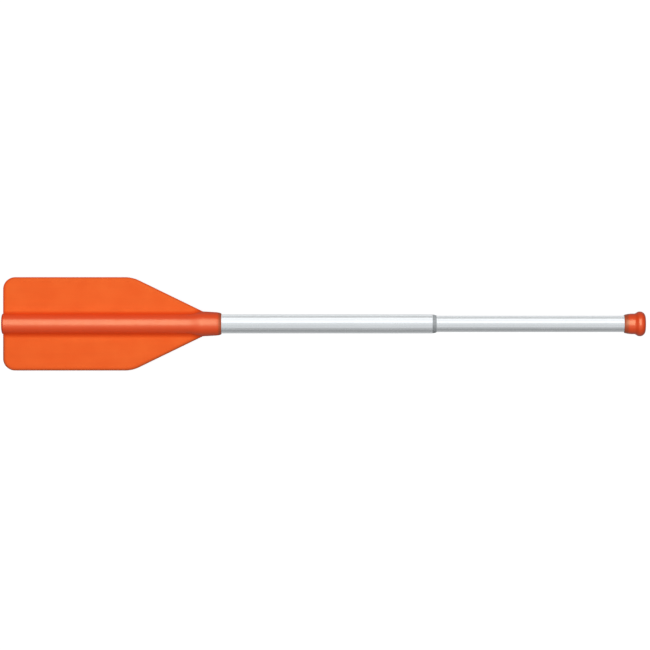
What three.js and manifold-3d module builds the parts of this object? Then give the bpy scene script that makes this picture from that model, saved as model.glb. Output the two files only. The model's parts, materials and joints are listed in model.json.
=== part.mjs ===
// A telescopic rowing oar: a ribbed plastic blade on a lower tube, an upper tube that slides and twists
// inside it, a flared end grip, and a twist lock (cone nut, split sleeve and stud) hidden inside the shaft.
// Millimetres. X runs along the shaft from the blade's tip to the grip, Y across the blade, Z up through its
// faces. The origin is on the shaft's axis, midway between the two ends of the extended oar.
import * as THREE from "three";
import { mergeVertices } from "three/addons/utils/BufferGeometryUtils.js";
import Module from "manifold-3d";

const wasm = await Module();
wasm.setup();

// ---- fits and mesh fineness ----
const slideGap = 0.1; // radial, between round pieces that slide or turn in each other
const seatGap = 0.2; // between faces that rest on each other
const holeGap = 0.15; // radial, round a screw, pin or stud
const roundSides = 48; // sides of every large round piece, so that coaxial facets line up
const smallSides = 24;
const overcut = 1; // how far a cutting tool runs past what it cuts

// ---- tubes and the bush between them ----
const upperTubeDiameter = 30;
const upperTubeWall = 1.5;
const bushWall = 0.8; // it fills the gap between the tubes, so it sets the lower tube's bore
const lowerTubeWall = 1.5;
const lowerTubeShown = 387; // from the blade's socket to the tube's mouth
const upperTubeShown = 344; // from the mouth bush to the grip
const tubeEndChamfer = 0.4;

// ---- blade ----
const bladeLength = 400; // tip edge to the end of the socket
const bladeWidth = 171;
const socketLength = 34; // from where the taper meets the collar to the socket's end
const bladeTaperLength = 129; // from the shoulder's corner to the collar
const bladeThickness = 6;
const bladeTipRadius = 22;
const bladeShoulderRadius = 57;
const bladeEdgeWidth = 7; // how far in from the outline the edge is rounded
const bladeEdgeLand = 1.2; // the flat left at the parting line
const ribWall = 1.85; // plastic round the tube
const ribFillet = 10; // between the rib and the blade's faces
const ribEndRound = 1;
const collarWall = 5.2; // at the end of the taper
const collarEndWall = 3.9;
const collarSwell = 26; // over which the rib thickens into the collar
const collarRoundLength = 11; // the rounding at the socket's end
const collarRoundDepth = 2.7;
const collarRoundFullness = 1.6; // 1 is a straight chamfer, 2 a quarter of an ellipse
const leadIn = 0.8; // the chamfer inside the socket's mouth and the grip's

// ---- tip plug and its screws ----
const tipFlange = 3;
const tipDomeLength = 2.4; // the flange's rounded end
const tipDomeDepth = 8.5;
const tipSpigotRound = 1;
const tipSpigotLength = 40;
const tipSpigotWall = 7;
const screwFromTip = 12; // the first screw, from the blade's tip edge
const screwFromSpigotEnd = 10; // the second one
const screwShank = 4;
const screwLength = 12;
const screwHead = 7.6;
const screwHeadHeight = 1.8;
const screwPoint = 3;
const spotFaceMargin = 0.8; // radial, round a screw's head
const spotFaceDepth = 0.6;

// ---- foam in the lower tube ----
const foamClearance = 10; // left free past the lock when the shaft is pushed in

// ---- mouth bush ----
const bushInside = 60;
const bushLip = 7;
const bushLipTipWall = 0.8; // at the lip's thin end

// ---- grip ----
const gripLength = 39;
const gripMouthWall = 1.2;
const gripMouthRound = 15; // length over which the mouth swells to the body
const gripBodyWall = 3.7;
const gripFlangeRise = 3.8; // of the flange over the body
const gripMouthFullness = 1.5;
const gripFlareStart = 18.5; // from the mouth
const gripFlareLength = 8.5;
const gripFlangeWidth = 3;
const gripEndRoundDepth = 9.6; // fall of the radius from the flange to the flat end
const gripEndFullness = 1.8;
const gripEndWall = 7;
const gripSpigotStart = 4;
const gripSpigotWall = 4.4;
const gripScrewFromMouth = 12;

// ---- twist lock ----
const plugFlange = 5;
const plugFlangeGap = 0.3; // radial, in the lower tube
const plugSpigot = 40;
const pinFromSpigotEnd = 9;
const pinDiameter = 4;
const pinWall = 0.8;
const pinSlit = 0.9;
const sealSection = 1.2;
const sealFromTube = 8;
const studDiameter = 8;
const studInPlug = 24;
const studPast = 2.5;
const threadPitch = 1.25;
const twistTurns = 1; // from locked to free
const washerThickness = 1.6;
const thrustWasherWidth = 8; // radial, round the stud
const stopWasherWidth = 5;
const nutWall = 2.5; // from the stud to the middle of a flat
const sleeveLength = 30;
const sleeveGap = 0.4; // radial, in the lower tube
const sleeveMouthWall = 3.1; // where the tapered bore is widest
const sleeveTaper = 0.18; // fall of the bore's radius for each millimetre of depth
const sleeveTopWall = 8; // from the taper's end to the sleeve's closed end
const sleeveSlot = 2.4;
const sleeveSlotStop = 6; // from a slot's end to the closed end
const ringSection = 1.6;
const ringFromEnd = 10;
const coneStop = 6; // from the cone's end to the taper's end
const coneOutside = 6;
const coneGap = 0.2;
const coneFlangeStep = 0.7; // radial, from the sleeve's mouth to the flange
const keyGap = 0.2; // each side of a key in its slot
const keyStep = 0.9; // radial, from the sleeve's mouth to a key's edge
const keyStop = 2; // from a key's end to the cone's end

// ---- worked out from the sizes above ----
const upperTubeRadius = upperTubeDiameter / 2;
const upperTubeBore = upperTubeRadius - upperTubeWall;
const bushBore = upperTubeRadius + slideGap;
const bushRadius = bushBore + bushWall;
const lowerTubeBore = bushRadius + slideGap;
const lowerTubeRadius = lowerTubeBore + lowerTubeWall;
const socketBore = lowerTubeRadius + slideGap;
const ribRadius = socketBore + ribWall;
const collarRadius = socketBore + collarWall;
const collarEndRadius = socketBore + collarEndWall;
const plateHalf = bladeThickness / 2;

const overallLength = tipFlange + bladeLength + lowerTubeShown + bushLip + upperTubeShown + gripLength;
const xTip = -overallLength / 2;
const xBladeTip = xTip + tipFlange;
const xSocketEnd = xBladeTip + bladeLength;
const xTaperEnd = xSocketEnd - socketLength;
const xShoulder = xTaperEnd - bladeTaperLength;
const xTipSpigotEnd = xBladeTip + tipSpigotLength;
const xTipScrews = [xBladeTip + screwFromTip, xTipSpigotEnd - screwFromSpigotEnd];
const xMouth = xSocketEnd + lowerTubeShown;
const xBushInner = xMouth - bushInside;
const xGripMouth = xMouth + bushLip + upperTubeShown;
const xGripEnd = xGripMouth + gripLength;

const xPlugFace = xBushInner - 2 * seatGap; // the plug's flange stops the upper tube here
const xUpperTube = xPlugFace + seatGap;
const xPlugSpigotEnd = xUpperTube + plugSpigot;
const xPin = xPlugSpigotEnd - pinFromSpigotEnd;
const xSeal = xUpperTube + sealFromTube;
const xUpperTubeEnd = xGripEnd - gripEndWall - seatGap;
const xFlangeFace = xPlugFace - plugFlange;
const xThrustWasher = xFlangeFace - seatGap - washerThickness;
const xSleeveTop = xThrustWasher - seatGap;
const xSleeveEnd = xSleeveTop - sleeveLength;
const xTaperTop = xSleeveTop - sleeveTopWall;
const xConeTop = xTaperTop - coneStop;
const xConeEnd = xSleeveEnd - coneOutside;
const lockTravel = threadPitch * twistTurns;
const xStopWasher = xConeEnd - lockTravel - 2 * seatGap - washerThickness;
const xNut = xStopWasher - seatGap - studDiameter; // the nut is as high as the stud is wide
const xStudEnd = xNut - studPast;
const shaftTravel = upperTubeShown - 2 * seatGap; // until the grip meets the bush
const xFoamEnd = xStudEnd - shaftTravel - foamClearance;
const studHole = studDiameter / 2 + holeGap;
const sleeveRadius = lowerTubeBore - sleeveGap;
const sleeveMouthBore = sleeveRadius - sleeveMouthWall;
const gripBore = upperTubeRadius + slideGap;
const gripBodyRadius = gripBore + gripBodyWall;
const xGripScrew = xGripMouth + gripScrewFromMouth;

// ---- materials ----
function material(color, roughness, metalness) {
  return new THREE.MeshStandardMaterial({ color, roughness, metalness });
}

const orangePlastic = material(0xf7672d, 0.42, 0);
const aluminium = material(0xc9ced1, 0.32, 0.9);
const greyNylon = material(0x6f7377, 0.5, 0);
const blackNylon = material(0x2b2c2e, 0.55, 0);
const steel = material(0xb4b6b8, 0.3, 1);
const brass = material(0xc8a04a, 0.3, 1);
const rubber = material(0x1c1c1d, 0.8, 0);
const foam = material(0xe9e7df, 0.95, 0);

// ---- solids ----
// A closed geometry as a manifold solid.
function solid(geometry) {
  const bare = geometry.clone();
  bare.deleteAttribute("normal");
  bare.deleteAttribute("uv");
  const merged = mergeVertices(bare, 1e-4);
  const vertProperties = new Float32Array(merged.getAttribute("position").array);
  const triVerts = new Uint32Array(merged.index.array);
  return new wasm.Manifold(new wasm.Mesh({ numProp: 3, vertProperties, triVerts }));
}

function geometryOf(shape) {
  const { vertProperties, triVerts } = shape.getMesh();
  const geometry = new THREE.BufferGeometry();
  geometry.setAttribute("position", new THREE.BufferAttribute(new Float32Array(vertProperties), 3));
  geometry.setIndex(new THREE.BufferAttribute(new Uint32Array(triVerts), 1));
  geometry.computeVertexNormals();
  return geometry;
}

const join = (first, ...rest) => rest.reduce((all, next) => all.add(next), first);
const cut = (first, ...rest) => rest.reduce((left, next) => left.subtract(next), first);

// A profile of [x, radius] pairs turned about the X axis. It runs towards +X along the outside.
function turned(profile, sides = roundSides) {
  const points = profile.map(([x, radius]) => new THREE.Vector2(radius, x));
  return solid(new THREE.LatheGeometry(points, sides).rotateZ(-Math.PI / 2));
}

// A round bar along X, from x0 to x1.
const bar = (x0, x1, radius, sides) => turned([[x0, 0], [x0, radius], [x1, radius], [x1, 0]], sides);

// A ring along X, from x0 to x1.
function ring(x0, x1, inner, outer, sides) {
  return turned([[x0, inner], [x0, outer], [x1, outer], [x1, inner], [x0, inner]], sides);
}

// A round bar along Z at (x, 0), from z0 to z1.
function upright(x, z0, z1, radius, sides = smallSides) {
  const geometry = new THREE.CylinderGeometry(radius, radius, z1 - z0, sides);
  return solid(geometry.rotateX(Math.PI / 2).translate(x, 0, (z0 + z1) / 2));
}

function block(x0, x1, y, z) {
  return solid(new THREE.BoxGeometry(x1 - x0, y, z).translate((x0 + x1) / 2, 0, 0));
}

// An O-ring about the X axis.
function oRing(x, radius, section) {
  const torus = new THREE.TorusGeometry(radius, section / 2, 6, roundSides);
  return solid(torus.rotateY(Math.PI / 2).translate(x, 0, 0));
}

// A shape drawn in Y and Z, extruded along X from x0 to x1.
function extrudedAlongX(shape, x0, x1, curveSegments = 4) {
  const geometry = new THREE.ExtrudeGeometry(shape, { depth: x1 - x0, bevelEnabled: false, curveSegments });
  const toShaft = new THREE.Matrix4().makeBasis(
    new THREE.Vector3(0, 1, 0),
    new THREE.Vector3(0, 0, 1),
    new THREE.Vector3(1, 0, 0),
  );
  return solid(geometry.applyMatrix4(toShaft).translate(x0, 0, 0));
}

// Points along an arc from angle a0 to a1, for a profile.
function arc(cx, cy, radius, a0, a1, steps) {
  return Array.from({ length: steps + 1 }, (_, i) => {
    const angle = a0 + ((a1 - a0) * i) / steps;
    return [cx + radius * Math.cos(angle), cy + radius * Math.sin(angle)];
  });
}

// A rounding for a profile. It leaves (x, radius) along the shaft, and turns over dx by dr. A fullness of 2
// gives a quarter of an ellipse, and 1 a straight chamfer.
function rounding(x, radius, dx, dr, steps, fullness = 2) {
  const power = 2 / fullness;
  return Array.from({ length: steps + 1 }, (_, i) => {
    const angle = ((Math.PI / 2) * i) / steps;
    return [x + dx * Math.sin(angle) ** power, radius + dr * (1 - Math.cos(angle) ** power)];
  });
}

// A closed outline through corners [x, y, radius], each rounded by a tangent arc.
function roundedOutline(corners) {
  const shape = new THREE.Shape();
  corners.forEach(([x, y, radius], i) => {
    const corner = new THREE.Vector2(x, y);
    const [px, py] = corners.at(i - 1);
    const [nx, ny] = corners[(i + 1) % corners.length];
    const back = new THREE.Vector2(px, py).sub(corner).normalize();
    const on = new THREE.Vector2(nx, ny).sub(corner).normalize();
    const half = Math.acos(THREE.MathUtils.clamp(back.dot(on), -1, 1)) / 2;
    if (radius === 0) {
      if (i === 0) shape.moveTo(x, y);
      else shape.lineTo(x, y);
      return;
    }
    const inward = back.clone().add(on).normalize();
    const centre = corner.clone().addScaledVector(inward, radius / Math.sin(half));
    const start = corner.clone().addScaledVector(back, radius / Math.tan(half));
    const end = corner.clone().addScaledVector(on, radius / Math.tan(half));
    const angleTo = (p) => Math.atan2(p.y - centre.y, p.x - centre.x);
    const clockwise = back.cross(on) > 0;
    if (i === 0) shape.moveTo(start.x, start.y);
    else shape.lineTo(start.x, start.y);
    shape.absarc(centre.x, centre.y, radius, angleTo(start), angleTo(end), clockwise);
  });
  shape.closePath();
  return shape;
}

// ---- blade ----
function bladeOutline() {
  const halfWidth = bladeWidth / 2;
  const inCollar = socketBore; // the outline ends inside the collar
  const xInCollar = xTaperEnd + (collarRadius - inCollar);
  const upper = [
    [xShoulder, halfWidth, bladeShoulderRadius],
    [xBladeTip, halfWidth, bladeTipRadius],
  ];
  const lower = upper.map(([x, y, radius]) => [x, -y, radius]).reverse();
  const neck = [
    [xInCollar, -inCollar, 0],
    [xInCollar, inCollar, 0],
    [xTaperEnd, collarRadius, 0],
  ];
  return roundedOutline([[xTaperEnd, -collarRadius, 0], ...neck, ...upper, ...lower]);
}

// The fillets on one side of the rib, above and below the plate, as one bar of that section.
function ribFilletSection(side) {
  const centreZ = plateHalf + ribFillet;
  const centreY = Math.sqrt((ribRadius + ribFillet) ** 2 - centreZ ** 2);
  const share = ribRadius / (ribRadius + ribFillet);
  const onRib = Math.atan2(-centreZ, -centreY) + 2 * Math.PI;
  const above = arc(centreY, centreZ, ribFillet, onRib, (3 * Math.PI) / 2, 6);
  const below = above.map(([y, z]) => [y, -z]).reverse();
  const innerY = centreY * share - ribWall;
  const loop = [[innerY, centreZ * share], ...above, ...below, [innerY, -centreZ * share]];
  const points = loop.map(([y, z]) => new THREE.Vector2(side * y, z));
  return new THREE.Shape(side > 0 ? points.reverse() : points);
}

function makeBlade() {
  const outline = bladeOutline();
  const bevelThickness = (bladeThickness - bladeEdgeLand) / 2;
  const plate = new THREE.ExtrudeGeometry(outline, {
    depth: bladeEdgeLand,
    bevelEnabled: true,
    bevelThickness,
    bevelSize: bladeEdgeWidth,
    bevelOffset: -bladeEdgeWidth,
    bevelSegments: 3,
    curveSegments: 5,
  }).translate(0, 0, -bladeEdgeLand / 2);
  const deep = { depth: 4 * ribRadius, bevelEnabled: false, curveSegments: 5 };
  const inOutline = solid(new THREE.ExtrudeGeometry(outline, deep).translate(0, 0, -2 * ribRadius));
  const fillets = [1, -1].map((side) => {
    return extrudedAlongX(ribFilletSection(side), xBladeTip, xTaperEnd).intersect(inOutline);
  });
  const rib = turned([
    [xBladeTip, 0],
    [xBladeTip, ribRadius - ribEndRound],
    [xBladeTip + ribEndRound, ribRadius],
    [xTaperEnd - collarSwell, ribRadius],
    [xTaperEnd, collarRadius],
    ...rounding(xSocketEnd - collarRoundLength, collarEndRadius, collarRoundLength, -collarRoundDepth, 4,
      collarRoundFullness),
    [xSocketEnd, 0],
  ]);
  const bore = turned([
    [xBladeTip - overcut, 0],
    [xBladeTip - overcut, socketBore],
    [xSocketEnd - leadIn, socketBore],
    [xSocketEnd + overcut, socketBore + leadIn + overcut],
    [xSocketEnd + overcut, 0],
  ]);
  const zSpot = -ribRadius + spotFaceDepth;
  const pockets = xTipScrews.flatMap((x) => [
    upright(x, -2 * ribRadius, zSpot, screwHead / 2 + spotFaceMargin),
    upright(x, -2 * ribRadius, 0, screwShank / 2 + holeGap),
  ]);
  return cut(join(solid(plate), rib, ...fillets), bore, ...pockets);
}

// ---- tip plug ----
function makeTipPlug() {
  const spigotRadius = lowerTubeBore - slideGap;
  const flangeRadius = ribRadius - ribEndRound;
  const xFlange = xBladeTip - seatGap;
  const body = turned([
    [xTip, 0],
    ...rounding(xTip + tipDomeLength, flangeRadius, -tipDomeLength, -tipDomeDepth, 4).reverse(),
    [xFlange, flangeRadius],
    [xFlange, spigotRadius],
    [xTipSpigotEnd - tipSpigotRound, spigotRadius],
    [xTipSpigotEnd, spigotRadius - tipSpigotRound],
    [xTipSpigotEnd, spigotRadius - tipSpigotWall],
    [xBladeTip + tipFlange, spigotRadius - tipSpigotWall],
    [xBladeTip + tipFlange, 0],
  ]);
  const holes = xTipScrews.map((x) => upright(x, -2 * ribRadius, 0, screwShank / 2 + holeGap));
  return cut(body, ...holes);
}

// A pan-head self-tapping screw with a cross recess, pointing up from a seat at (x, zSeat).
function makeScrew(x, zSeat) {
  const headRadius = screwHead / 2;
  const profile = [
    [-screwHeadHeight, 0],
    [-screwHeadHeight, headRadius * 0.6],
    [-screwHeadHeight * 0.62, headRadius * 0.92],
    [-screwHeadHeight * 0.3, headRadius],
    [0, headRadius],
    [0, screwShank / 2],
    [screwLength - screwPoint, screwShank / 2],
    [screwLength, 0],
  ];
  const points = profile.map(([z, radius]) => new THREE.Vector2(radius, z));
  const body = solid(new THREE.LatheGeometry(points, smallSides).rotateX(Math.PI / 2));
  const recessDepth = screwHeadHeight * 0.6;
  const recessLength = screwHead * 0.55;
  const recessWidth = screwHead * 0.14;
  const slots = [0, Math.PI / 2].map((turn) => {
    const slot = new THREE.BoxGeometry(recessLength, recessWidth, 2 * recessDepth);
    return solid(slot.rotateZ(turn).translate(0, 0, -screwHeadHeight));
  });
  return cut(body, ...slots).translate([x, 0, zSeat]);
}

// ---- tubes ----
function makeLowerTube() {
  const tube = turned([
    [xBladeTip, lowerTubeBore],
    [xBladeTip, lowerTubeRadius],
    [xMouth - tubeEndChamfer, lowerTubeRadius],
    [xMouth, lowerTubeRadius - tubeEndChamfer],
    [xMouth, lowerTubeBore],
    [xBladeTip, lowerTubeBore],
  ]);
  const holes = xTipScrews.map((x) => upright(x, -2 * ribRadius, 0, screwShank / 2 + holeGap));
  return cut(tube, ...holes);
}

function makeUpperTube() {
  const tube = ring(xUpperTube, xUpperTubeEnd, upperTubeBore, upperTubeRadius);
  const pinHole = upright(xPin, -lowerTubeRadius, lowerTubeRadius, pinDiameter / 2 + holeGap);
  const screwHole = upright(xGripScrew, -lowerTubeRadius, 0, screwShank / 2 + holeGap);
  return cut(tube, pinHole, screwHole);
}

function makeBush() {
  const xLip = xMouth + seatGap;
  return turned([
    [xBushInner, bushBore],
    [xBushInner, bushRadius],
    [xLip, bushRadius],
    [xLip, lowerTubeRadius - tubeEndChamfer],
    [xLip + bushLip / 3, lowerTubeRadius - tubeEndChamfer],
    [xMouth + bushLip, bushBore + bushLipTipWall],
    [xMouth + bushLip, bushBore],
    [xBushInner, bushBore],
  ]);
}

// ---- grip ----
function makeGrip() {
  const slotInner = upperTubeBore - slideGap;
  const spigotBore = slotInner - gripSpigotWall;
  const flangeRadius = gripBodyRadius + gripFlangeRise;
  const mouthDepth = gripBodyWall - gripMouthWall;
  const xSpigot = xGripMouth + gripSpigotStart;
  const xWall = xGripEnd - gripEndWall;
  const xMouthRound = xGripMouth + gripMouthRound;
  const xFlare = xGripMouth + gripFlareStart;
  const xFlange = xFlare + gripFlareLength;
  const xDome = xFlange + gripFlangeWidth;
  const flareHalf = gripFlareLength * 0.6; // the flare's two halves overlap, so that it slopes between them
  const body = turned([
    [xWall, 0],
    [xWall, spigotBore],
    [xSpigot, spigotBore],
    [xSpigot, slotInner - 1],
    [xSpigot + 2, slotInner],
    [xWall, slotInner],
    [xWall, gripBore],
    [xGripMouth + leadIn, gripBore],
    [xGripMouth, gripBore + leadIn],
    ...rounding(xMouthRound, gripBodyRadius, -gripMouthRound, -mouthDepth, 4, gripMouthFullness).reverse(),
    ...rounding(xFlare, gripBodyRadius, flareHalf, gripFlangeRise / 2, 2).slice(0, 2),
    ...rounding(xFlange, flangeRadius, -flareHalf, -gripFlangeRise / 2, 2).slice(0, 2).reverse(),
    ...rounding(xDome, flangeRadius, xGripEnd - xDome, -gripEndRoundDepth, 5, gripEndFullness),
    [xGripEnd, 0],
  ]);
  const zSpot = -gripBodyRadius + spotFaceDepth;
  const spotFace = upright(xGripScrew, -2 * gripBodyRadius, zSpot, screwHead / 2 + spotFaceMargin);
  const screwHole = upright(xGripScrew, -2 * gripBodyRadius, 0, screwShank / 2 + holeGap);
  return cut(body, spotFace, screwHole);
}

// ---- twist lock ----
function makeLockPlug() {
  const spigotRadius = upperTubeBore - slideGap;
  const flangeRadius = lowerTubeBore - plugFlangeGap;
  const grooveHalf = sealSection / 2 + slideGap;
  const grooveRadius = spigotRadius - sealSection - slideGap;
  const body = turned([
    [xFlangeFace, 0],
    [xFlangeFace, flangeRadius - 1],
    [xFlangeFace + 1, flangeRadius],
    [xPlugFace, flangeRadius],
    [xPlugFace, spigotRadius],
    [xSeal - grooveHalf, spigotRadius],
    [xSeal - grooveHalf, grooveRadius],
    [xSeal + grooveHalf, grooveRadius],
    [xSeal + grooveHalf, spigotRadius],
    [xPlugSpigotEnd - 1.5, spigotRadius],
    [xPlugSpigotEnd, spigotRadius - 1.5],
    [xPlugSpigotEnd, 0],
  ]);
  const forStud = bar(xFlangeFace - overcut, xFlangeFace + studInPlug + seatGap, studHole, smallSides);
  const forPin = upright(xPin, -lowerTubeRadius, lowerTubeRadius, pinDiameter / 2 + holeGap);
  return cut(body, forStud, forPin);
}

const makeSeal = () => oRing(xSeal, upperTubeBore - slideGap - sealSection / 2, sealSection);

// A slit spring pin along Z.
function makePin() {
  const half = upperTubeRadius - seatGap;
  const hollow = cut(
    upright(xPin, -half, half, pinDiameter / 2),
    upright(xPin, -half - overcut, half + overcut, pinDiameter / 2 - pinWall),
  );
  const slit = new THREE.BoxGeometry(pinDiameter, pinSlit, 2 * (half + overcut));
  return cut(hollow, solid(slit.translate(xPin + pinDiameter / 2, 0, 0)));
}

function makeStud() {
  const radius = studDiameter / 2;
  const xEnd = xFlangeFace + studInPlug;
  return turned([
    [xStudEnd, 0],
    [xStudEnd, radius - 0.8],
    [xStudEnd + 0.8, radius],
    [xEnd - 0.8, radius],
    [xEnd, radius - 0.8],
    [xEnd, 0],
  ], smallSides);
}

function makeWasher(x, width) {
  return ring(x, x + washerThickness, studHole, studDiameter / 2 + width, smallSides);
}

function makeNut() {
  const flat = studDiameter / 2 + nutWall;
  const corner = (2 * flat) / Math.sqrt(3);
  const height = studDiameter;
  const hexagon = new THREE.Shape();
  for (let i = 0; i < 6; i++) {
    const angle = (i * Math.PI) / 3;
    const point = [corner * Math.cos(angle), corner * Math.sin(angle)];
    if (i === 0) hexagon.moveTo(...point);
    else hexagon.lineTo(...point);
  }
  const prism = extrudedAlongX(hexagon, xNut, xNut + height);
  const chamfered = turned([
    [xNut, 0],
    [xNut, flat * 0.72],
    [xNut + height * 0.25, flat],
    [xNut + height * 0.25, corner],
    [xNut + height - 1, corner],
    [xNut + height, flat - 0.3],
    [xNut + height, 0],
  ]);
  const hole = bar(xNut - overcut, xNut + height + overcut, studHole, smallSides);
  return cut(prism.intersect(chamfered), hole);
}

function makeSleeve() {
  const xRing = xSleeveEnd + ringFromEnd;
  const grooveHalf = ringSection / 2 + slideGap;
  const grooveRadius = lowerTubeBore - slideGap - ringSection - slideGap;
  const taperEndBore = sleeveMouthBore - sleeveTaper * (xTaperTop - xSleeveEnd);
  const studClear = studDiameter / 2 + 4 * holeGap;
  const body = turned([
    [xSleeveEnd, sleeveMouthBore],
    [xSleeveEnd, sleeveRadius - 0.6],
    [xSleeveEnd + 0.6, sleeveRadius],
    [xRing - grooveHalf, sleeveRadius],
    [xRing - grooveHalf, grooveRadius],
    [xRing + grooveHalf, grooveRadius],
    [xRing + grooveHalf, sleeveRadius],
    [xSleeveTop - 0.6, sleeveRadius],
    [xSleeveTop, sleeveRadius - 0.6],
    [xSleeveTop, studClear],
    [xTaperTop, studClear],
    [xTaperTop, taperEndBore],
    [xSleeveEnd, sleeveMouthBore],
  ]);
  const across = 4 * sleeveRadius;
  const x0 = xSleeveEnd - overcut;
  const x1 = xSleeveTop - sleeveSlotStop;
  return cut(body, block(x0, x1, sleeveSlot, across), block(x0, x1, across, sleeveSlot));
}

function makeDragRing() {
  return oRing(xSleeveEnd + ringFromEnd, lowerTubeBore - slideGap - ringSection / 2, ringSection);
}

// The cone in the sleeve's tapered bore, with a flange below it and four keys in the sleeve's slots.
function makeCone() {
  const xKeys = xSleeveEnd - 2;
  const flangeRadius = sleeveMouthBore + coneFlangeStep;
  const boreAt = (x) => sleeveMouthBore - sleeveTaper * (x - xSleeveEnd) - coneGap;
  const cone = turned([
    [xConeEnd, 0],
    [xConeEnd, flangeRadius - 1],
    [xConeEnd + 1, flangeRadius],
    [xKeys, flangeRadius],
    [xSleeveEnd, boreAt(xSleeveEnd)],
    [xConeTop, boreAt(xConeTop)],
    [xConeTop, 0],
  ]);
  const xKeyEnd = xConeTop - keyStop;
  const keyRadius = sleeveMouthBore + keyStep;
  const keyWidth = sleeveSlot - 2 * keyGap;
  const across = 4 * keyRadius;
  const keys = join(block(xKeys, xKeyEnd, keyWidth, across), block(xKeys, xKeyEnd, across, keyWidth));
  const hole = bar(xConeEnd - overcut, xConeTop + overcut, studHole, smallSides);
  return cut(join(cone, keys.intersect(bar(xKeys, xKeyEnd, keyRadius))), hole);
}

// ---- assembly ----
const oar = new THREE.Group();

function add(name, shape, finish) {
  const mesh = new THREE.Mesh(geometryOf(shape), finish);
  mesh.name = name;
  oar.add(mesh);
}

add("blade", makeBlade(), orangePlastic);
add("tip_plug", makeTipPlug(), orangePlastic);
xTipScrews.forEach((x, i) => {
  add(`blade_screw_${i + 1}`, makeScrew(x, -ribRadius + spotFaceDepth - seatGap), steel);
});
add("lower_tube", makeLowerTube(), aluminium);
add("float_foam", bar(xTipSpigotEnd + 2, xFoamEnd, lowerTubeBore - 2 * slideGap), foam);
add("mouth_bush", makeBush(), greyNylon);

add("upper_tube", makeUpperTube(), aluminium);
add("grip", makeGrip(), orangePlastic);
add("grip_screw", makeScrew(xGripScrew, -gripBodyRadius + spotFaceDepth - seatGap), steel);
add("lock_plug", makeLockPlug(), blackNylon);
add("plug_seal", makeSeal(), rubber);
add("plug_pin", makePin(), steel);
add("lock_stud", makeStud(), steel);
add("stop_washer", makeWasher(xStopWasher, stopWasherWidth), steel);
add("stop_nut", makeNut(), steel);

add("thrust_washer", makeWasher(xThrustWasher, thrustWasherWidth), steel);
add("expander_sleeve", makeSleeve(), greyNylon);
add("drag_ring", makeDragRing(), rubber);
add("cone_nut", makeCone(), brass);

export default oar;
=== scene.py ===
import json
import math
import bpy
import numpy as np
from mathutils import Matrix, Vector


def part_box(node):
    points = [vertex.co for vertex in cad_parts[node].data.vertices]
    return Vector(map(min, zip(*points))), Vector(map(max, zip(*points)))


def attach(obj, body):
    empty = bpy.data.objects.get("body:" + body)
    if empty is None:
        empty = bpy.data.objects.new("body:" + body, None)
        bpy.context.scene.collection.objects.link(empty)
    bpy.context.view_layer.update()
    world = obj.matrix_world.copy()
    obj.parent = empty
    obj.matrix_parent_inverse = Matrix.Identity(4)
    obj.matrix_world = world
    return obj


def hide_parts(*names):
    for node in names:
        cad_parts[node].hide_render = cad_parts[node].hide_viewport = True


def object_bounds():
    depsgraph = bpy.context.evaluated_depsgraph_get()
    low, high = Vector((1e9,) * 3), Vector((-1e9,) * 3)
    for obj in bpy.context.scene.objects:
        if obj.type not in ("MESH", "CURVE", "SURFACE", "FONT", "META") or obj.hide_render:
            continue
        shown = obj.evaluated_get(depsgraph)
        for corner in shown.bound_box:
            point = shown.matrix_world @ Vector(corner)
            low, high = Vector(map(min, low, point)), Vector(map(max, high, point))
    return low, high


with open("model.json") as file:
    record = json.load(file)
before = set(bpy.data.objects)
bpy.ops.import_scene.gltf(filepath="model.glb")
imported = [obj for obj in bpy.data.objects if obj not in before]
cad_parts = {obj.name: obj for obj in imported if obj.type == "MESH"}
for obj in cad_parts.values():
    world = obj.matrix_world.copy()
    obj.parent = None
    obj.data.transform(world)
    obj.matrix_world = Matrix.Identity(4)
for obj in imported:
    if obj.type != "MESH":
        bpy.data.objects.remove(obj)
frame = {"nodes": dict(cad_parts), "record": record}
cadLow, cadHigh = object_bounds()
print("frame loaded,", len(frame["nodes"]), "nodes")

mm = 0.001
sharpAngle = math.radians(32)
onAxis = 1e-6       # a radius this small is on the shaft's axis
mostOfSide = 0.49   # a rounding takes at most this share of a side


# ---- meshes ----

# rows x columns points as quads, row after row. They wrap round the columns, and round the rows when looped.
def gridFaces(rows, columns, first=0, looped=False):
    r = np.arange(rows if looped else rows - 1)[:, None]
    c = np.arange(columns)[None, :]
    below, above = r * columns, ((r + 1) % rows) * columns
    right = (c + 1) % columns
    return first + np.stack([below + c, below + right, above + right, above + c], -1).reshape(-1, 4)


# A fan of triangles from a pole to a ring of columns points.
def fanFaces(pole, first, columns, outward=1):
    c = first + np.arange(columns)
    n = first + (np.arange(columns) + 1) % columns
    pair = (c, n) if outward > 0 else (n, c)
    return np.stack([np.full(columns, pole), *pair], -1)


# Points in millimetres and arrays of faces become an object in metres.
def putMesh(name, points, faces, material, body, replaces):
    mesh = bpy.data.meshes.new(name)
    sizes = np.concatenate([np.full(len(f), f.shape[1]) for f in faces])
    corners = np.concatenate([f.ravel() for f in faces])
    starts = np.concatenate([[0], np.cumsum(sizes)[:-1]])
    mesh.vertices.add(len(points))
    mesh.vertices.foreach_set("co", (points * mm).astype(np.float32).ravel())
    mesh.loops.add(len(corners))
    mesh.loops.foreach_set("vertex_index", corners.astype(np.int32))
    mesh.polygons.add(len(sizes))
    mesh.polygons.foreach_set("loop_start", starts.astype(np.int32))
    mesh.polygons.foreach_set("use_smooth", np.ones(len(sizes), bool))
    mesh.update(calc_edges=True)
    mesh.validate()
    mesh.set_sharp_from_angle(angle=sharpAngle)
    mesh.materials.append(material)
    piece = bpy.data.objects.new(name, mesh)
    bpy.context.scene.collection.objects.link(piece)
    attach(piece, body)
    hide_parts(*replaces)


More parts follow.
